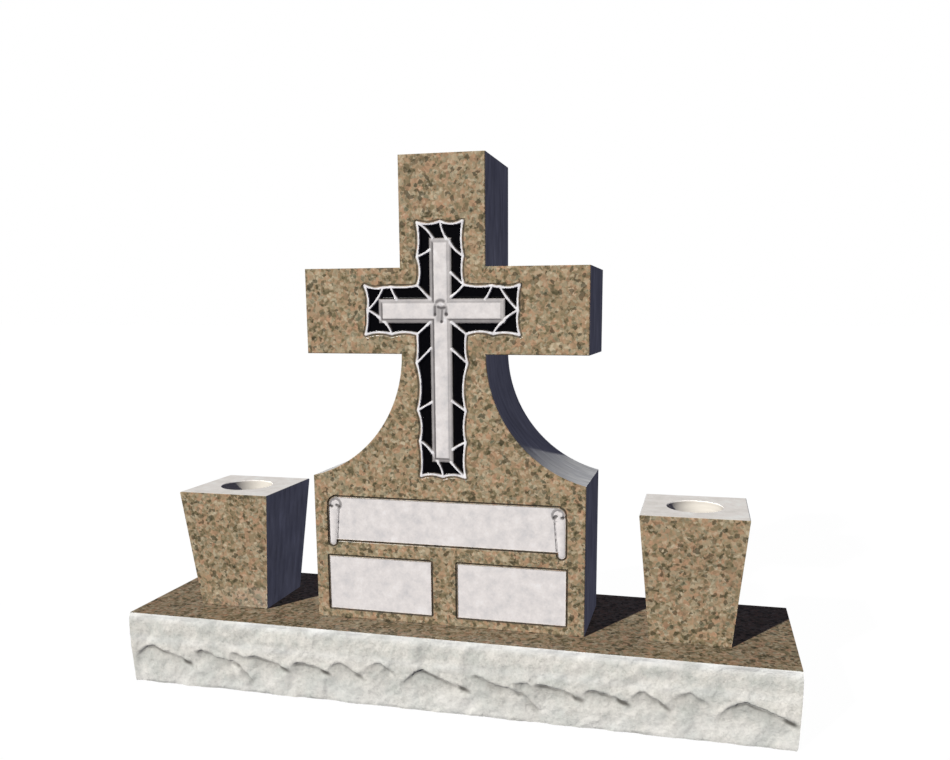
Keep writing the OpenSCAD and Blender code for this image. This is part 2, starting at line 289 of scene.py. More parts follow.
def carved_cross(x, z):
    """Depth, finishes, painted shade and painted highlights of the field, its veins and the raised
    cross.
    """
    z = z - CROSSING
    border = path_distance(x, z, FIELD_LINE, closed=True)
    within = inside(x, z, FIELD_LINE)
    vein = np.full(np.shape(x), FAR)
    for line in VEIN_LINES:
        vein = np.minimum(vein, path_distance(x, z, line))
    node = np.full(np.shape(x), FAR)
    for i in range(len(FIELD_NODES)):
        node = np.minimum(node, np.hypot(x - corner(i)[0], z - corner(i)[1]))
    border_half = BORDER_HALF + NODE_SWELL * np.exp(-(node / NODE_REACH) ** 2)
    cross_in = within_cross(x, z)
    # More than zero along the left and lower edges of the raised cross, where the painted shade is
    # darker.
    toward = (within_cross(x + 1, z + 1) - within_cross(x - 1, z - 1)) / 2

    def rib(gap, half):
        return 1 - ease((gap / half - 0.6) / 0.6)

    # The veins swell where they meet the cross and run out on its bevel.
    vein_half = VEIN_HALF + 0.8 * np.exp(-(cross_in / 5) ** 2)
    vein_rib = np.where(within, rib(vein, vein_half), 0) * (1 - ease((cross_in - 3.5) / 2.5))
    border_rib = rib(border, border_half)
    ribs = np.maximum(border_rib, vein_rib)
    crown = 0.6 * np.minimum(np.minimum(border / border_half, vein / vein_half), 1) ** 2
    groove = np.where(within, 0, 1 - ease((np.abs(border - BORDER_HALF - 2.6) - 0.4) / 1.9))
    depth = np.where(within, FIELD_DEPTH * (1 - ribs) + crown, 1.4 * groove + crown * border_rib)

    # A steep edge, a shallow bevel and a fine groove inside it.
    slope = np.clip(cross_in / (CROSS_BEVEL - 1.5), 0, 1)
    wall = ease(cross_in / 1.6 + 0.8)
    rebate = 1 - ease((np.abs(cross_in - CROSS_BEVEL) - 0.8) / 2.2)
    stroke, drop, light = bud(x, z)
    top = (
        BEVEL_DROP * (1 - slope) + (FIELD_DEPTH - BEVEL_DROP) * (1 - wall)
        + 0.7 * rebate + 1.1 * stroke + 1.0 * drop
    )
    depth = np.where(cross_in > -1.6, np.minimum(depth, top), depth)

    # Painted shade: the bevel, the fine groove inside it and the bud are greyed, darker along the left
    # and lower edges as if lit from the upper right.
    on_cross = ease(cross_in / 0.8 + 0.5)
    bevel = 1 - ease(cross_in - CROSS_BEVEL + 1.0)
    bevel_tone = 0.54 + 0.12 * toward + 0.25 * (1 - ease((cross_in - 0.5) / 2.5))
    edge_line = rebate * (0.68 + 0.27 * np.clip(toward, -1, 1))
    shade = np.maximum.reduce([bevel_tone * bevel, edge_line, stroke, 0.95 * drop])
    # The white mask holds the white ribs and the bud's painted highlights; the line mask holds painted
    # shade in the groove outside the border and in the bud's drops.
    return {
        "depth": depth,
        "frost": on_cross * (1 - ribs),
        "white": np.maximum(ribs, 0.7 * light),
        "black": within * (1 - ribs) * (1 - on_cross),
        "line": np.maximum(groove * 0.8, on_cross * drop * 0.5),
        "shade": on_cross * shade * (1 - ribs) * (1 - light),
        "detail": np.minimum.reduce([
            border - 5.5, np.where(within, vein - 2.6, FAR), np.abs(cross_in) - 1.2,
            np.abs(cross_in - CROSS_BEVEL) - 1.4, np.hypot(x, z) - 25,
        ]),
        "region": np.where(within, 0, border),
    }


def sunk_panel(shape, floor):
    """Depth, finishes and painted groove shade of a sunk panel whose signed distance is given."""
    # The groove round the panel is painted with shade through the line mask.
    groove = 1 - ease((np.abs(shape - GROOVE_OFF) - 0.6) / (GROOVE_HALF - 0.6))
    return {
        "depth": np.maximum(floor * ease(0.3 - shape), GROOVE_DEPTH * groove),
        "frost": ease(0.5 - shape / 1.2),
        "line": groove,
        "detail": np.abs(shape - 2.2) - 3.4,
        "region": np.maximum(shape, 0),
    }


def lower_panels(x, z):
    """The two blank panels low on the die, one each side of its middle."""
    shape = box_distance(np.abs(x), z, (PANEL_INNER, PANEL_LOW), (PANEL_EDGE, PANEL_TOP))
    return sunk_panel(shape, PANEL_DEPTH)


def scroll(x, z):
    """The scroll: a sunk sheet between two rolled ends with a curl at each head."""
    u = SCROLL_EDGE - np.abs(x)
    rod_foot = (ROLL_FOOT_RADIUS, ROLL_TIP + ROLL_FOOT_RADIUS)
    rod_head = (ROLL_HEAD_RADIUS, ROLL_HEAD)
    sheet = box_distance(x, z, (-SCROLL_EDGE + 12, SCROLL_LOW), (SCROLL_EDGE - 12, SCROLL_TOP))
    rod = segment_distance(u, z, rod_foot, rod_head, (ROLL_FOOT_RADIUS, ROLL_HEAD_RADIUS))
    spoke = np.hypot(u - CURL_AT[0], z - CURL_AT[1])
    curl = spoke - CURL_RADIUS
    shape = np.minimum(np.minimum(sheet, rod), curl)
    made = sunk_panel(shape, PANEL_DEPTH)

    # The rolled end, round in section, and the sheet's edge standing beside it.
    share = np.clip((z - rod_foot[1]) / (rod_head[1] - rod_foot[1]), 0, 1)
    radius = ROLL_FOOT_RADIUS + (ROLL_HEAD_RADIUS - ROLL_FOOT_RADIUS) * share
    across = np.clip(1 + rod / radius, 0, 1)
    on_rod = rod < 0
    rod_depth = 0.2 + 2.4 * (1 - np.sqrt(1 - across ** 2))
    seam_at = 3.0 - 1.2 * share
    seam = (1 - ease((np.abs(rod - seam_at) - 0.5) / 1.4)) * (sheet < -1) * (curl > -1)
    dashes = 0.55 + 0.45 * np.sin(z * 0.48) * np.cos(z * 0.11)
    gutter = 0.45 * (rod > 0) * (rod < seam_at) * (sheet < 0) * (1 - share)
    depth = np.where(on_rod, rod_depth, made["depth"])
    depth = np.maximum(depth, (PANEL_DEPTH + 1.2) * seam)

    # The curl: a hood round a white tongue, with a hollow painted with shade on each side of it.
    turn = np.degrees(np.arctan2(z - CURL_AT[1], u - CURL_AT[0]))
    open_part = ease((np.abs(turn + 105) - 30) / 25)
    hood = (1 - ease((np.abs(spoke - 11.0) - 1.4) / 1.5)) * open_part
    hollow = np.maximum(
        pocket(u, z, (20.0, 240.0), (6.4, 3.6), -32), pocket(u, z, (5.2, 238.6), (5.4, 3.6), 0)
    )
    spot = pocket(u, z, (11.0, 252.0), (3.4, 2.4), 20)
    on_curl = (curl < 0) & (z > 231)
    depth = np.where(on_curl, 0.2 + 0.9 * hood + 2.2 * hollow + 0.5 * spot, depth)
    brow = (1 - ease((np.abs(curl) - 0.3) / 1.0)) * (sheet < -0.5) * (z > 233)
    made["depth"] = np.maximum(depth, 1.8 * brow)
    # Painted shade: dashes along the seam, the gutter by the rolled end, and the curl's hood, brow and
    # spot.
    made["shade"] = np.maximum.reduce([
        seam * dashes * 0.9, gutter, on_curl * hood * 0.7, brow * 0.6, on_curl * spot * 0.6,
    ])
    made["line"] = np.maximum(made["line"], on_curl * hollow * 0.85)
    made["detail"] = np.minimum.reduce([
        made["detail"], np.maximum(rod - 4, 0), np.maximum(curl, 0) - 1,
    ])
    return made


FINISHES_AND_SHADE = ("frost", "white", "black", "line", "shade")


def carving(x, z):
    """Depth, finishes, painted shade and highlights, detail and region of the die's whole face."""
    x = x - CARVING_SHIFT
    total = {name: np.zeros(np.shape(x)) for name in FINISHES_AND_SHADE + ("depth",)}
    total["detail"] = total["region"] = np.full(np.shape(x), FAR)
    for part in (carved_cross(x, z), lower_panels(x, z), scroll(x, z)):
        for name in FINISHES_AND_SHADE + ("depth",):
            total[name] = np.maximum(total[name], part.get(name, 0))
        for name in ("detail", "region"):
            total[name] = np.minimum(total[name], part[name])
    return total


# ---------------------------------------- meshes
class Builder:
    """Gathers points in millimetres and faces with a material, then makes a mesh."""

    def __init__(self, name, materials):
        self.name = name
        self.materials = materials
        self.points = []
        self.faces = []
        self.slots = []

    def add(self, points):
        first = len(self.points)
        self.points.extend(tuple(map(float, p)) for p in points)
        return list(range(first, len(self.points)))

    def face(self, corners, slot):
        self.faces.append(corners)
        self.slots.append(slot)

    def band(self, low, high, slot):
        """A closed strip of quads between two rings of as many points."""
        for i in range(len(low)):
            j = (i + 1) % len(low)
            self.face((low[i], low[j], high[j], high[i]), slot)

    def fan(self, ring, middle, slot):
        centre = self.add([middle])[0]
        for i in range(len(ring)):
            self.face((ring[i], ring[(i + 1) % len(ring)], centre), slot)

    def finish(self, masks=None):
        mesh = bpy.data.meshes.new(self.name)
        mesh.from_pydata([(x * MM, y * MM, z * MM) for x, y, z in self.points], [], self.faces)
        mesh.polygons.foreach_set("material_index", self.slots)
        if masks:
            for name, values in masks.items():
                layer = mesh.attributes.new(name, "FLOAT", "POINT")
                whole = np.zeros(len(self.points), np.float32)
                whole[: len(values)] = values
                layer.data.foreach_set("value", whole)
        work = bmesh.new()
        work.from_mesh(mesh)
        bmesh.ops.remove_doubles(work, verts=work.verts, dist=WELD)
        bmesh.ops.recalc_face_normals(work, faces=work.faces)
        for face in work.faces:
            face.smooth = True
        for edge in work.edges:
            if len(edge.link_faces) == 2:
                a, b = edge.link_faces
                edge.smooth = edge.calc_face_angle(0) < SHARP and a.material_index == b.material_index
        work.to_mesh(mesh)
        work.free()
        for material in self.materials:
            mesh.materials.append(material)
        piece = bpy.data.objects.new(self.name, mesh)
        bpy.context.scene.collection.objects.link(piece)
        return piece


COARSE, FINE = 8, 1
# The part of the face searched for carving, and how far the patch reaches past it.
PATCH_HALF, PATCH_TOP, PATCH_MARGIN = 288, 928, 9


def leaves_of(cells):
    """Splits square cells (corner x, corner z, side), in whole millimetres, where there is detail."""
    kept = []
    side = COARSE
    while len(cells):
        half = side / 2
        detail = carving(cells[:, 0] + half, cells[:, 1] + half)["detail"]
        split = (detail < side * 0.75) & (side > FINE)
        kept.append(np.column_stack([cells[~split], np.full((~split).sum(), side)]))
        whole = cells[split]
        side //= 2
        cells = np.concatenate([whole + np.array(s) * side for s in ((0, 0), (1, 0), (0, 1), (1, 1))])
    return np.concatenate(kept).astype(int)


def edge_walk(x, z, side):
    """Whole-millimetre places round a cell, anticlockwise."""
    for k in range(side):
        yield x + k, z
    for k in range(side):
        yield x + side, z + k
    for k in range(side):
        yield x + side - k, z + side
    for k in range(side):
        yield x, z + side - k


def carved_face(builder, outline, slot):
    """The die's front: relief where it is carved, and a flat sheet out to the outline."""
    xs = np.arange(-PATCH_HALF, PATCH_HALF, COARSE)
    zs = np.arange(0, PATCH_TOP, COARSE)
    grid = np.array([(x, z) for x in xs for z in zs])
    region = carving(grid[:, 0] + COARSE / 2, grid[:, 1] + COARSE / 2)["region"]
    cells = grid[region < PATCH_MARGIN]
    patch = {tuple(c) for c in cells.tolist()}
    leaves = leaves_of(cells)
    places = {}
    for x, z, side in leaves.tolist():
        for place in ((x, z), (x + side, z), (x + side, z + side), (x, z + side)):
            places.setdefault(place, len(places))
    rounds = []
    for x, z, side in leaves.tolist():
        loop = [places[p] for p in edge_walk(x, z, side) if p in places]
        rounds.append((loop, (x + side / 2, z + side / 2)))
    spots = list(places)
    for n, (loop, middle) in enumerate(rounds):
        if len(loop) > 4:
            spots.append(middle)
            rounds[n] = (loop, len(spots) - 1)
        else:
            rounds[n] = (loop, None)
    spots = np.array(spots, float)
    made = carving(spots[:, 0], spots[:, 1])
    ids = builder.add(
        (x, FRONT + depth, BASE_HEIGHT + z) for (x, z), depth in zip(spots.tolist(), made["depth"])
    )
    for loop, middle in rounds:
        if middle is None:
            builder.face(tuple(ids[k] for k in loop), slot)
        else:
            for i in range(len(loop)):
                builder.face((ids[loop[i]], ids[loop[(i + 1) % len(loop)]], ids[middle]), slot)

    # The flat sheet between the patch's rim and the outline.
    rim = set()
    for x, z in patch:
        sides = {
            (0, -1): [(x + k, z) for k in range(COARSE + 1)],
            (1, 0): [(x + COARSE, z + k) for k in range(COARSE + 1)],
            (0, 1): [(x + k, z + COARSE) for k in range(COARSE + 1)],
            (-1, 0): [(x, z + k) for k in range(COARSE + 1)],
        }
        for (dx, dz), walk in sides.items():
            if (x + dx * COARSE, z + dz * COARSE) not in patch:
                nodes = [p for p in walk if p in places]
                rim.update(zip(nodes, nodes[1:]))
    flat = [Vector(p) for p in outline]
    edges = [(i, (i + 1) % len(outline)) for i in range(len(outline))]
    index = {}
    for a, b in sorted(rim):
        for p in (a, b):
            if p not in index:
                index[p] = len(flat)
                flat.append(Vector((float(p[0]), float(p[1]))))
        edges.append((index[a], index[b]))
    verts, _, tris, *_ = delaunay_2d_cdt(flat, edges, [], 0, 1e-4)
    middles = np.array([[sum(verts[k].x for k in t) / 3, sum(verts[k].y for k in t) / 3] for t in tris])
    shown = inside(middles[:, 0], middles[:, 1], [tuple(p) for p in outline])
    ids = builder.add((v.x, FRONT, BASE_HEIGHT + v.y) for v in verts)
    for t, (x, z), show in zip(tris, middles, shown):
        cell = (int(math.floor(x / COARSE) * COARSE), int(math.floor(z / COARSE) * COARSE))
        if show and cell not in patch:
            builder.face(tuple(ids[k] for k in t), slot)
    return {name: made[name] for name in FINISHES_AND_SHADE}


def die_outline():
    """The die from the front, clockwise from the foot's left corner, heights above the base."""
    run, rise = DIE_HALF - POST_HALF, ARM_LOW - SHOULDER
    radius = (run * run + rise * rise) / (2 * run)
    centre = POST_HALF + radius
    sweep = math.degrees(math.asin(rise / radius))
    left = arc((-centre, ARM_LOW), radius, -sweep, 0, ARC_STEPS)
    right = [(-x, z) for x, z in reversed(left)]
    top = DIE_HEIGHT
    return (
        [(-DIE_HALF, 0)] + left
        + [(-ARM_REACH, ARM_LOW), (-ARM_REACH, ARM_HIGH), (-POST_HALF, ARM_HIGH), (-POST_HALF, top)]
        + [(POST_HALF, top), (POST_HALF, ARM_HIGH), (ARM_REACH, ARM_HIGH), (ARM_REACH, ARM_LOW)]
        + right + [(DIE_HALF, 0)]
    )


def make_die(face, plain, sawn):
    """The cross: carved in front, polished behind and sawn round its edges."""
    builder = Builder("die_carved", [face, plain, sawn])
    outline = die_outline()
    drawn = drawn_in(outline, ARRIS)
    masks = carved_face(builder, drawn, 0)
    rings = []
    for line, y in ((drawn, FRONT), (outline, FRONT + ARRIS), (outline, BACK - ARRIS), (drawn, BACK)):
        rings.append(builder.add((x, y, BASE_HEIGHT + z) for x, z in line))
    for n, (a, b) in enumerate(zip(rings, rings[1:])):
        builder.band(a, b, (0, 2, 1)[n])
    flat = [Vector(p) for p in drawn]
    edges = [(i, (i + 1) % len(flat)) for i in range(len(flat))]
    verts, _, tris, *_ = delaunay_2d_cdt(flat, edges, [], 1, 1e-4)
    ids = builder.add((v.x, BACK, BASE_HEIGHT + v.y) for v in verts)
    for t in tris:
        builder.face(tuple(ids[k] for k in t), 1)
    return builder.finish(masks)


# ---------------------------------------- the rock-pitched base
HALF_RUN = 2 * float(BASE_HALF.sum())


def lattice_noise(run, drop, cell, seed):
    """Smooth noise from -1 to 1 that repeats half way round the base."""
    across = max(2, round(HALF_RUN / cell))
    down = int(BASE_HEIGHT / cell) + 3
    table = np.random.default_rng(seed).uniform(-1, 1, (across, down))
    u, v = run / HALF_RUN * across, drop / cell
    i, j = np.floor(u).astype(int), np.floor(v).astype(int)
    fu, fv = ease(u - i), ease(v - j)
    a = table[i % across, j] * (1 - fu) + table[(i + 1) % across, j] * fu
    b = table[i % across, j + 1] * (1 - fu) + table[(i + 1) % across, j + 1] * fu
    return a * (1 - fv) + b * fv


# The ledges left where flakes came away, in millimetres along the face and below its
# top: start, drop at the start, peak, drop at the peak, end, drop at the end, depth,
# and how dark the painted shade at the right end is. The row of them begins again at
# each pattern start.
PATTERN_STARTS = (-9, 601, 1218)
LEDGES = [
    (2, 114, 60, 70, 152, 101, 6.0, 0.95),
    (150, 76, 168, 71, 266, 97, 4.5, 0.6),
    (258, 96, 270, 100, 296, 130, 2.5, 0.0),
    (236, 80, 258, 73, 284, 80, 2.5, 0.3),
    (272, 82, 302, 71, 378, 95, 6.5, 0.95),
    (372, 90, 402, 77, 468, 93, 6.5, 1.05),
    (462, 92, 492, 68, 546, 97, 4.0, 0.7),
    (538, 80, 580, 61, 612, 80, 3.5, 0.3),
]
# The painted shade of a crevice: its line and the drop that ends it, their sizes, how far
# they lie below the lip, and how dark they and the painted shade round them are. Seen a
# little from above, the lip hides a share of the hollow's depth.
LINE_HALF, DROP_LENGTH, DROP_HALF = 3.9, 13.5, 5.2
LINE_BELOW, DROP_BELOW, LIP_HIDES = 2.6, 3.4, 0.42
LINE_TONE, DROP_TONE, SHADE_TONE = 0.9, 1.3, 0.58


def placed_ledges():
    """The ledges all along half of the base, each a little different from the last."""
    placed = []
    for start in PATTERN_STARTS:
        for a, down_a, b, down_b, c, down_c, depth, dark in LEDGES:
            nudge = rng.uniform(-1, 1, 4)
            if start + c < HALF_RUN:
                placed.append((
                    start + a + 3 * nudge[0], down_a, start + b + 3 * nudge[1], down_b + 2 * nudge[2],
                    start + c + 3 * nudge[0], down_c, depth * (1 + 0.1 * nudge[3]), dark,
                ))
    return placed


def ledge_cut(run, drop, ledge):
    """How deep one ledge's hollow is cut, in millimetres, and how dark its painted crevice shade is."""
    a, down_a, b, down_b, c, down_c, depth, dark = ledge
    rise = np.clip((run - a) / (b - a), 0, 1)
    fall = np.clip((run - b) / (c - b), 0, 1)
    crest = np.where(run < b, down_a + (down_b - down_a) * np.sin(rise * math.pi / 2) ** 0.9,
                     down_b + (down_c - down_b) * fall ** 0.95)
    wave = 1.8 * lattice_noise(run, drop * 0, 17, 11) + 0.9 * lattice_noise(run, drop * 0, 7, 12)
    below = drop - crest - wave
    under = np.maximum(below, 0)
    along = (run - a) / (c - a)
    peak = (b - a) / (c - a)
    # The hollow fades in from the left and draws in to a point as it runs down.
    grown = (0.3 + 0.7 * ease(along / (1.5 * peak))) * ease(along / 0.2)
    held = grown * (1 - ease((along + 0.006 * under - 0.8) / 0.2))
    scoop = ease(below / 3.6 + 0.5) * np.clip(1 - below / (30 + 22 * (1 - along)), 0, 1) ** 1.5
    lip = 1.6 * np.exp(-((below + 5) / 6) ** 2) * held
    in_run = (run > a) & (run < c)
    hollow = in_run * (depth * held * scoop - lip)

    # Painted shade lies on the hollow's floor, just clear of the lip as seen from above:
    # a soft line that is darkest past the peak, and a deep drop at the right end.
    clear = below - LIP_HIDES * depth * held
    off_end = (run - c + DROP_LENGTH) / DROP_LENGTH
    drop_shape = np.exp(-np.abs(off_end) ** 3 - ((clear - DROP_BELOW) / DROP_HALF) ** 2)
    hollow = hollow + 2.0 * dark * drop_shape
    strength = ease((along - 0.05 * peak) / (0.75 * peak + 0.01))
    strength = strength * (1 - 0.4 * ease((along - 1.3 * peak) / 0.3))
    thin = np.exp(-((clear - LINE_BELOW) / LINE_HALF) ** 2) * strength * in_run * min(1.0, depth / 6)
    ends = ease(along / 0.25) * (1 - ease((along - 0.7) / 0.3))
    shade = in_run * ends * ease(below / 3) * np.exp(-np.maximum(clear, 0) / 14)
    uneven = 0.9 + 0.2 * lattice_noise(run, drop, 11, 13)
    tone = np.maximum.reduce([LINE_TONE * thin, DROP_TONE * dark * drop_shape, SHADE_TONE * shade])
    return hollow, np.minimum(uneven * tone, 1.0)


def facets(run, drop, slant, period, seed):
    """Broad leaning flakes: a short flank that faces left, then a long one that faces right."""
    heights = 0.35 + 0.65 * np.random.default_rng(seed).uniform(0, 1, (64, 2))[:, 0]
    count = max(1, round(HALF_RUN / period))
    pushed = 22 * lattice_noise(run, drop, 60, seed + 1) + 7 * lattice_noise(run, drop, 22, seed + 2)
    s = (run + slant * drop + pushed) / HALF_RUN * count
    cell = np.floor(s).astype(int)
    t = s - cell
    height = heights[cell % count % 64]
    short = 0.2
    return height * np.where(t < short, t / short, 1 - (t - short) / (1 - short))


# Bands where the face is paler: drop, half width and strength. The top one is a painted
# highlight along the top edge.
PALE_BANDS = [(4, 10, 0.62), (56, 9, 0.24), (150, 48, 0.26)]
# How far the roughness and the flakes are set back into the stone.
CUT_BACK = 3.4


def pitched(run, drop):
    """How far the pitched face stands out past the edge line, its painted crevice shade and pale bands.
    """
    share = drop / BASE_HEIGHT
    swell = SWELL * np.sin(math.pi * share ** 0.5) - 0.5
    hollow, crevice_shade = np.zeros(np.shape(run)), np.zeros(np.shape(run))
    for ledge in placed_ledges():
        cut, dark = ledge_cut(run, drop, ledge)
        hollow = hollow + cut
        crevice_shade = np.maximum(crevice_shade, dark)
    upper = 1 - ease((share - 0.5) / 0.25)
    broken = 0.5 + 0.5 * lattice_noise(run, drop, 48, 17)
    flakes = 3.4 * facets(run, drop, 1.1, 108, 21) * upper * broken
    flakes = flakes + 2.2 * facets(run, drop, 1.4, 70, 31) * (1 - upper) * broken
    flakes = flakes + 2.2 * facets(run, drop, -0.8, 84, 41) * (1 - broken)
    rough = (
        2.4 * lattice_noise(run, drop, 42, 5) + 1.3 * lattice_noise(run, drop, 19, 6)
        + 0.7 * lattice_noise(run, drop, 9, 7)
    )
    near_edge = ease(drop / 10)
    foot = 1.2 * ease((drop - BASE_HEIGHT + 6) / 6) * (1 + lattice_noise(run, drop * 0, 22, 8))
    ends = ease(np.minimum(np.minimum(run, HALF_RUN - run), np.abs(run - 2 * BASE_HALF[0])) / 22)
    relief = (rough + flakes - CUT_BACK - hollow) * (0.2 + 0.8 * ends) * near_edge
    pale = np.zeros(np.shape(run))
    for middle, half, strength in PALE_BANDS:
        pale = pale + strength * np.exp(-((drop - middle) / half) ** 2)
    pale = pale * (1 + 0.5 * lattice_noise(run, drop, 30, 19)) * (1 - crevice_shade)
    proud = np.minimum(SWELL + 1.0, swell + relief - foot) * (drop > 0)
    return proud, crevice_shade, pale


# Drops of the rows of points, closer together where the ledges are.
LEDGE_BAND = (56, 126)
PITCH_DROPS = np.concatenate([
    np.linspace(0, LEDGE_BAND[0], 19)[:-1], np.linspace(*LEDGE_BAND, 39)[:-1],
    np.linspace(LEDGE_BAND[1], BASE_HEIGHT, 11),
])


def make_base(top, sides):
    """The base: a front and a right side, and the same two turned round behind them."""
    builder = Builder("base_pitched", [top, sides])
    long_steps = round(2 * BASE_HALF[0] / PITCH_RUN)
    short_steps = round(2 * BASE_HALF[1] / PITCH_RUN)
    hx, hy = BASE_HALF
    edge, out, run = [], [], []
    for k in range(long_steps):
        edge.append((-hx + 2 * hx * k / long_steps, -hy))
        out.append((-1 if k == 0 else 0, -1))
        run.append(2 * hx * k / long_steps)
    for k in range(short_steps):
        edge.append((hx, -hy + 2 * hy * k / short_steps))
        out.append((1, -1 if k == 0 else 0))
        run.append(2 * hx + 2 * hy * k / short_steps)
    edge, out, run = np.array(edge), np.array(out, float), np.array(run)
    proud, crevice_shade, pale = pitched(*np.meshgrid(run, PITCH_DROPS))
    rings = []
    for row, drop in enumerate(PITCH_DROPS):
        half = edge + out * proud[row][:, None]
        whole = np.concatenate([half, -half])
        rings.append(builder.add((x, y, BASE_HEIGHT - drop) for x, y in whole))
    for a, b in zip(rings, rings[1:]):
        builder.band(a, b, 1)
    builder.fan(rings[0], (0, 0, BASE_HEIGHT), 0)
    builder.fan(rings[-1], (0, 0, 0), 1)
    return builder.finish({
        "crevice_shade": np.concatenate([crevice_shade, crevice_shade], axis=1).ravel(),
        "pale": np.concatenate([pale, pale], axis=1).ravel(),
    })


# ---------------------------------------- the vases
def square_ring(half, z, steps):
    """Points round a square at the angles of a circle's steps, corners included."""
    points = []
    for k in range(steps):
        a = 2 * math.pi * k / steps
        c, s = math.cos(a), math.sin(a)
        reach = half / max(abs(c), abs(s))
        points.append((c * reach, s * reach, z))
    return points


def round_ring(radius, z, steps):
    """Points round a circle."""
    return [
        (radius * math.cos(2 * math.pi * k / steps), radius * math.sin(2 * math.pi * k / steps), z)
        for k in range(steps)
    ]


def make_vase(node, face, top, side, bore):
    """A tapered block with a bored hole; its front and back are polished."""
    low, high = box_mm(node)
    middle = (low + high) / 2
    height = high[2] - low[2]
    builder = Builder(node + "_block", [face, top, side, bore])
    slope = (VASE_TOP_HALF - VASE_FOOT_HALF) / height
    profile = [
        (VASE_FOOT_HALF - ARRIS, 0), (VASE_FOOT_HALF + slope * ARRIS, ARRIS),
        (VASE_TOP_HALF - slope * ARRIS, height - ARRIS), (VASE_TOP_HALF - ARRIS, height),
    ]

    def placed(points):
        return builder.add((x + middle[0], y + middle[1], z + low[2]) for x, y, z in points)

    rings = [placed(square_ring(half, z, BORE_STEPS)) for half, z in profile]
    for n, (a, b) in enumerate(zip(rings, rings[1:])):
        for i in range(BORE_STEPS):
            j = (i + 1) % BORE_STEPS
            turn = math.degrees(2 * math.pi * (i + 0.5) / BORE_STEPS) % 180
            slot = 0 if 45 < turn < 135 else 2
            builder.face((a[i], a[j], b[j], b[i]), slot)
    floor = height - BORE_DEPTH
    inner = [
        (BORE_RADIUS + BORE_RIM, height), (BORE_RADIUS, height - BORE_RIM),
        (BORE_RADIUS, height - BORE_DEPTH / 3), (BORE_RADIUS, height - BORE_DEPTH * 2 / 3),
        (BORE_RADIUS, floor + BORE_FILLET), (BORE_RADIUS - BORE_FILLET, floor),
    ]
    bored = [placed(round_ring(r, z, BORE_STEPS)) for r, z in inner]
    builder.band(rings[-1], bored[0], 1)
    builder.band(bored[0], bored[1], 1)
    for a, b in zip(bored[1:], bored[2:]):
        builder.band(a, b, 3)
    builder.fan(bored[-1], (middle[0], middle[1], low[2] + floor), 3)
    builder.fan(rings[0], (middle[0], middle[1], low[2]), 2)
    return builder.finish()


# ---------------------------------------- materials
# How strongly the front, the sawn edges, the vases' rims and their bores are lit, and
# the brightest a surface can be.
FRONT_LIGHT, EDGE_LIGHT, RIM_LIGHT, BORE_LIGHT = 1.15, 0.70, 0.72, 0.95
BRIGHTEST = 0.95


def linear(value):
    """A screen value from 0 to 255 as linear light."""
    value /= 255
    return value / 12.92 if value <= 0.04045 else ((value + 0.055) / 1.055) ** 2.4


def seen(r, g, b, light=FRONT_LIGHT):
    """The surface colour that looks like the given screen colour under that much light."""
    return tuple(min(BRIGHTEST, linear(v) / light) for v in (r, g, b)) + (1.0,)


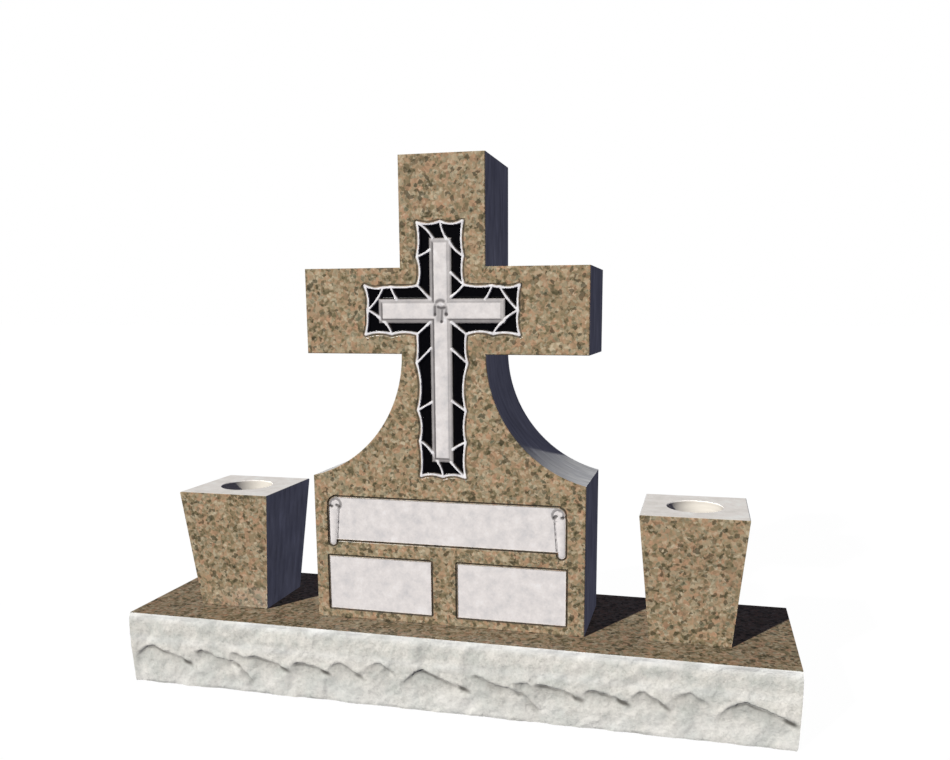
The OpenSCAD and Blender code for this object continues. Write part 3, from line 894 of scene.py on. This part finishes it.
class Shader:
    """A small helper that adds nodes to one material."""

    def __init__(self, name):
        self.material = bpy.data.materials.new(name)
        self.material.use_nodes = True
        self.tree = self.material.node_tree
        self.surface = self.tree.nodes["Principled BSDF"]
        self.place = self.tree.nodes.new("ShaderNodeTexCoord").outputs["Object"]

    def node(self, kind, inputs, **settings):
        """Adds a node with these settings and feeds its inputs, by name or number."""
        made = self.tree.nodes.new(kind)
        for name, value in settings.items():
            setattr(made, name, value)
        for name, value in inputs.items():
            self.feed(made.inputs[name], value)
        return made

    def feed(self, socket, value):
        """Links another node's output to an input, or sets the input to a value."""
        if isinstance(value, bpy.types.NodeSocket):
            self.tree.links.new(value, socket)
        else:
            socket.default_value = value

    def stretched(self, scale):
        """The place, scaled by its own amount each way."""
        return self.node("ShaderNodeMapping", {"Vector": self.place, "Scale": scale}).outputs["Vector"]

    def noise(self, scale, detail=3.0, rough=0.55, vector=None, colour=False):
        node = self.node("ShaderNodeTexNoise", {
            "Vector": vector or self.place, "Scale": scale, "Detail": detail, "Roughness": rough,
        })
        return node.outputs["Color" if colour else "Fac"]

    def grains(self, scale, vector, soft=0.0):
        """A number from 0 to 1 for each grain."""
        node = self.node("ShaderNodeTexVoronoi", {"Vector": vector, "Scale": scale})
        if soft:
            node.feature = "SMOOTH_F1"
            node.inputs["Smoothness"].default_value = soft
        return self.node("ShaderNodeSeparateColor", {0: node.outputs["Color"]}).outputs[0]

    def shift(self, operation, inputs):
        return self.node("ShaderNodeVectorMath", inputs, operation=operation).outputs[0]

    def warped(self, scale, amount):
        """The place, pushed about by noise."""
        push = self.shift("SUBTRACT", {0: self.noise(scale, 2.0, colour=True), 1: (0.5, 0.5, 0.5)})
        return self.shift("ADD", {0: self.place, 1: self.shift("SCALE", {0: push, "Scale": amount})})

    def ramp(self, value, stops):
        """The colours or numbers at the given stops, blended between them."""
        node = self.node("ShaderNodeValToRGB", {0: value})
        ramp = node.color_ramp
        while len(ramp.elements) < len(stops):
            ramp.elements.new(1.0)
        for element, (at, colour) in zip(ramp.elements, stops):
            element.position = at
            element.color = colour if isinstance(colour, tuple) else (colour, colour, colour, 1)
        return node.outputs["Color"]

    def clouded(self, scale, detail, low, high):
        """Two colours or numbers, blended by noise."""
        return self.ramp(self.noise(scale, detail), [(0.3, low), (0.7, high)])

    def mix(self, share, a, b, blend="MIX"):
        node = self.node(
            "ShaderNodeMix", {"Factor": share, 6: a, 7: b}, data_type="RGBA", blend_type=blend
        )
        return node.outputs[2]

    def maths(self, operation, a, b):
        return self.node("ShaderNodeMath", {0: a, 1: b}, operation=operation).outputs[0]

    def mask(self, name):
        """One of the mesh's masks of finishes, painted shade and painted highlights."""
        return self.node("ShaderNodeAttribute", {}, attribute_name=name).outputs["Fac"]

    def bump(self, height, strength, distance):
        inputs = {"Height": height, "Strength": strength, "Distance": distance}
        self.feed(self.surface.inputs["Normal"], self.node("ShaderNodeBump", inputs).outputs[0])

    def set(self, name, value):
        self.surface.inputs[name].default_value = value

    def finish(self, colour, roughness):
        self.feed(self.surface.inputs["Base Color"], colour)
        self.feed(self.surface.inputs["Roughness"], roughness)
        return self.material


def granite_colour(shader):
    """Coarse brown granite: soft grains of many colours, dark flecks, a slow drift of tone."""
    warp = shader.warped(80, 0.013)
    coarse = shader.grains(104, warp, 0.35)
    fine = shader.grains(190, shader.warped(130, 0.008), 0.3)
    fleck = shader.grains(140, shader.warped(110, 0.009))
    body = shader.ramp(coarse, [
        (0.05, seen(84, 78, 56)), (0.18, seen(122, 112, 84)), (0.32, seen(148, 134, 104)),
        (0.45, seen(172, 142, 112)), (0.56, seen(184, 142, 112)), (0.68, seen(142, 136, 110)),
        (0.82, seen(192, 174, 144)), (0.97, seen(122, 122, 100)),
    ])
    speck = shader.ramp(fine, [
        (0.04, seen(76, 70, 50)), (0.20, seen(120, 108, 82)), (0.42, seen(154, 134, 104)),
        (0.60, seen(178, 142, 110)), (0.80, seen(166, 154, 126)), (0.96, seen(206, 190, 162)),
    ])
    colour = shader.mix(0.45, body, speck)
    dark = shader.ramp(fleck, [(0.0, 1.0), (0.09, 0.9), (0.14, 0.0), (1.0, 0.0)])
    colour = shader.mix(shader.maths("MULTIPLY", dark, 0.72), colour, seen(64, 60, 44))
    drift = shader.clouded(9, 3, (0.93, 0.93, 0.93, 1), (1.05, 1.05, 1.04, 1))
    return shader.mix(1.0, colour, drift, "MULTIPLY")


def frosted_colour(shader):
    """Blasted granite: pale, with a faint warm and grey clouding."""
    cloud = shader.ramp(shader.noise(40, 5, 0.66), [
        (0.28, seen(200, 197, 196)), (0.44, seen(215, 210, 207)),
        (0.56, seen(224, 218, 214)), (0.72, seen(233, 229, 226)),
    ])
    grit = shader.ramp(shader.noise(230, 4, 0.65), [(0.3, (0.93, 0.925, 0.92, 1)), (0.65, (1, 1, 1, 1))])
    return shader.mix(1.0, cloud, grit, "MULTIPLY")


def polished_granite(name, carved=False, specular=0.3):
    """Polished granite, with the finishes, painted shade and painted highlights of the carving laid over
    it if it is carved.
    """
    shader = Shader(name)
    colour = granite_colour(shader)
    polish = shader.clouded(300, 2, 0.14, 0.20)
    if carved:
        frost, white, black, line, shade = (shader.mask(m) for m in FINISHES_AND_SHADE)
        colour = shader.mix(frost, colour, frosted_colour(shader))
        # Painted shade on the bevels, the fine grooves, the bud and the scroll, through the shade mask.
        stain_and_painted_shade = shader.clouded(80, 3, seen(88, 84, 84), seen(104, 99, 98))
        colour = shader.mix(shade, colour, stain_and_painted_shade)
        # White for the ribs, and painted highlights on the bud.
        white_and_painted_highlight = shader.clouded(120, 4, seen(206, 202, 203), seen(243, 241, 240))
        colour = shader.mix(white, colour, white_and_painted_highlight)
        soot = shader.clouded(500, 3, seen(1, 1, 1), seen(8, 7, 8))
        colour = shader.mix(black, colour, soot)
        # Painted shade in the outline grooves, the curl's hollows and the bud's drops, through the line
        # mask.
        recess_shade = shader.clouded(90, 3, seen(26, 22, 18), seen(54, 47, 38))
        colour = shader.mix(shader.maths("MULTIPLY", line, 0.9), colour, recess_shade)
        matt = shader.maths("ADD", shader.maths("ADD", frost, white), shader.maths("ADD", line, shade))
        matt = shader.maths("MINIMUM", matt, 1.0)
        polish = shader.mix(matt, polish, (0.85, 0.85, 0.85, 1))
        polish = shader.mix(black, polish, (0.12, 0.12, 0.12, 1))
        shader.bump(shader.maths("MULTIPLY", shader.noise(700, 4), matt), 0.2, 0.001)
    shader.set("Specular IOR Level", specular)
    return shader.finish(colour, polish)


def sawn_granite(name):
    """Steeled stone with soft streaks left by the saw."""
    shader = Shader(name)
    saw = shader.noise(1.0, 5, 0.62, shader.stretched((13, 62, 13)))
    tone = shader.ramp(saw, [
        (0.30, seen(158, 158, 155, EDGE_LIGHT)), (0.45, seen(179, 179, 176, EDGE_LIGHT)),
        (0.58, seen(192, 192, 188, EDGE_LIGHT)), (0.72, seen(216, 216, 210, EDGE_LIGHT)),
    ])
    stain_and_painted_shade = shader.clouded(14, 4, (0.82, 0.83, 0.87, 1), (1, 1, 1, 1))
    shader.bump(shader.noise(260, 4), 0.2, 0.001)
    shader.set("Specular IOR Level", 0.0)
    return shader.finish(shader.mix(1.0, tone, stain_and_painted_shade, "MULTIPLY"), 0.9)


def steeled_top(name):
    """The rims of the vases: pale steeled stone with a faint clouding."""
    shader = Shader(name)
    tone = shader.ramp(shader.noise(38, 5, 0.62), [
        (0.3, seen(200, 196, 188, RIM_LIGHT)), (0.5, seen(211, 206, 199, RIM_LIGHT)),
        (0.7, seen(221, 216, 209, RIM_LIGHT)),
    ])
    grit = shader.ramp(shader.noise(420, 3, 0.6), [(0.3, (0.93, 0.93, 0.92, 1)), (0.65, (1, 1, 1, 1))])
    shader.bump(shader.noise(600, 3), 0.2, 0.001)
    shader.set("Specular IOR Level", 0.1)
    return shader.finish(shader.mix(1.0, tone, grit, "MULTIPLY"), 0.8)


def cored_stone(name):
    """The wall of a bored hole, with faint rings left by the core drill."""
    shader = Shader(name)
    rings = shader.noise(1.0, 4, 0.6, shader.stretched((14, 14, 120)))
    tone = shader.ramp(rings, [
        (0.3, seen(196, 189, 176, BORE_LIGHT)), (0.7, seen(214, 207, 194, BORE_LIGHT)),
    ])
    shader.bump(rings, 0.15, 0.001)
    return shader.finish(tone, 0.8)


def pitched_stone(name):
    """Freshly broken granite: near white, with grey-green clouding and small crystals."""
    shader = Shader(name)
    cloud = shader.ramp(shader.noise(17, 6, 0.66), [
        (0.30, seen(186, 188, 180)), (0.42, seen(204, 204, 197)),
        (0.54, seen(217, 214, 206)), (0.70, seen(230, 226, 218)),
    ])
    mottle = shader.ramp(shader.noise(95, 5, 0.7), [
        (0.30, (0.84, 0.84, 0.82, 1)), (0.46, (0.96, 0.96, 0.95, 1)), (0.65, (1.05, 1.04, 1.03, 1)),
    ])
    crystal = shader.grains(300, shader.warped(200, 0.004))
    fleck = shader.ramp(crystal, [
        (0.0, (0.86, 0.86, 0.84, 1)), (0.25, (0.97, 0.97, 0.96, 1)), (1.0, (1.03, 1.03, 1.02, 1)),
    ])
    colour = shader.mix(1.0, shader.mix(1.0, cloud, mottle, "MULTIPLY"), fleck, "MULTIPLY")
    # The pale mask lightens bands of the face; the top band is a painted highlight along the top edge.
    colour = shader.mix(shader.mask("pale"), colour, seen(246, 246, 241))
    # Painted shade in the crevices under the ledge lips and in the drops at their right ends.
    shade_colour = shader.clouded(60, 3, seen(76, 74, 68), seen(100, 97, 90))
    colour = shader.mix(shader.mask("crevice_shade"), colour, shade_colour)
    height = shader.maths("ADD", shader.noise(120, 6, 0.7), shader.maths("MULTIPLY", crystal, 0.2))
    shader.bump(height, 0.6, 0.004)
    return shader.finish(colour, 0.85)


# ---------------------------------------- the pieces
CARVED_FACE = polished_granite("granite_carved_face", carved=True)
POLISHED = polished_granite("granite_polished")
SATIN = polished_granite("granite_satin", specular=0.05)
SAWN = sawn_granite("granite_sawn")
STEELED = steeled_top("granite_steeled")
CORED = cored_stone("granite_cored")
PITCHED = pitched_stone("granite_pitched")


def stand_in(piece, node):
    """Puts a piece in the place of its CAD node."""
    piece.visible_diffuse = False
    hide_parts(node)
    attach(piece, "root")


stand_in(make_base(SATIN, PITCHED), "base")
stand_in(make_die(CARVED_FACE, POLISHED, SAWN), "die")
for vase in ("vase_left", "vase_right"):
    stand_in(make_vase(vase, POLISHED, STEELED, SAWN, CORED), vase)


# ---------------------------------------- floor, light and camera
FLOOR_REACH, FLOOR_DROP, FLOOR_GLOW = 60.0, 0.0005, 0.99
SUN_AZIMUTH, SUN_HEIGHT = math.radians(61), math.radians(28.5)
SUN_TRAVEL = (
    math.cos(SUN_AZIMUTH) * math.cos(SUN_HEIGHT),
    math.sin(SUN_AZIMUTH) * math.cos(SUN_HEIGHT),
    -math.sin(SUN_HEIGHT),
)
SUN_ENERGY, SUN_SPREAD, SUN_COLOUR = 4.75, 1.6, (1.0, 0.995, 0.985)
BACK_ENERGY, BACK_SPREAD = 3.2, 0.5
SKY = (0.062, 0.064, 0.098, 1)
CAMERA_PLACE, CAMERA_TURN = (0.4936, -1.6961, 0.7833), (80.354, 0.107, 13.319)
CAMERA_LENS, CAMERA_SHIFT, CAMERA_REACH = 32.35, (-0.0271, 0.0843), 200


def link(thing):
    """Puts an object in the scene."""
    bpy.context.scene.collection.objects.link(thing)
    return thing


def white_floor():
    """A pale floor that takes a faint shadow."""
    mesh = bpy.data.meshes.new("floor")
    reach = FLOOR_REACH
    corners = [(-reach, -reach, 0), (reach, -reach, 0), (reach, reach, 0), (-reach, reach, 0)]
    mesh.from_pydata(corners, [], [(0, 1, 2, 3)])
    floor = link(bpy.data.objects.new("floor", mesh))
    floor.location.z = -FLOOR_DROP
    shader = Shader("floor_white")
    shader.set("Base Color", (0.02, 0.02, 0.02, 1))
    shader.set("Roughness", 1.0)
    shader.set("Specular IOR Level", 0.0)
    shader.set("Emission Color", (1, 1, 1, 1))
    shader.set("Emission Strength", FLOOR_GLOW)
    mesh.materials.append(shader.material)
    floor.visible_diffuse = False
    floor.visible_glossy = False


def sun(name, energy, spread, travel):
    """A distant light that travels the given way; its spread is in degrees."""
    data = bpy.data.lights.new(name, "SUN")
    data.energy = energy
    data.angle = math.radians(spread)
    lamp = link(bpy.data.objects.new(name, data))
    lamp.rotation_euler = Vector(travel).to_track_quat("-Z", "Y").to_euler()
    return lamp


def sky():
    """White where the camera sees it, and a dim cool light on the stone."""
    world = bpy.data.worlds.new("sky")
    world.use_nodes = True
    bpy.context.scene.world = world
    nodes, links = world.node_tree.nodes, world.node_tree.links
    nodes.clear()
    seen_directly = nodes.new("ShaderNodeLightPath")
    dim, bright = nodes.new("ShaderNodeBackground"), nodes.new("ShaderNodeBackground")
    dim.inputs["Color"].default_value = SKY
    bright.inputs["Color"].default_value = (1, 1, 1, 1)
    either, out = nodes.new("ShaderNodeMixShader"), nodes.new("ShaderNodeOutputWorld")
    links.new(seen_directly.outputs["Is Camera Ray"], either.inputs[0])
    links.new(dim.outputs[0], either.inputs[1])
    links.new(bright.outputs[0], either.inputs[2])
    links.new(either.outputs[0], out.inputs["Surface"])


def light():
    """Strong light from the front left, a level one from behind, and a dim cool sky."""
    key = sun("key", SUN_ENERGY, SUN_SPREAD, SUN_TRAVEL)
    key.data.color = SUN_COLOUR
    behind = sun("back_fill", BACK_ENERGY, BACK_SPREAD, (0, -1, 0))
    behind.visible_glossy = False
    sky()


def camera():
    """The camera where the photo was taken from, as the fit of its corners gave it."""
    data = bpy.data.cameras.new("camera")
    data.lens = CAMERA_LENS
    data.shift_x, data.shift_y = CAMERA_SHIFT
    data.clip_end = CAMERA_REACH
    eye = link(bpy.data.objects.new("camera", data))
    eye.location = CAMERA_PLACE
    eye.rotation_euler = [math.radians(a) for a in CAMERA_TURN]
    bpy.context.scene.camera = eye


white_floor()
light()
camera()
bpy.context.scene.view_settings.view_transform = "Standard"
bpy.context.scene.view_settings.look = "None"
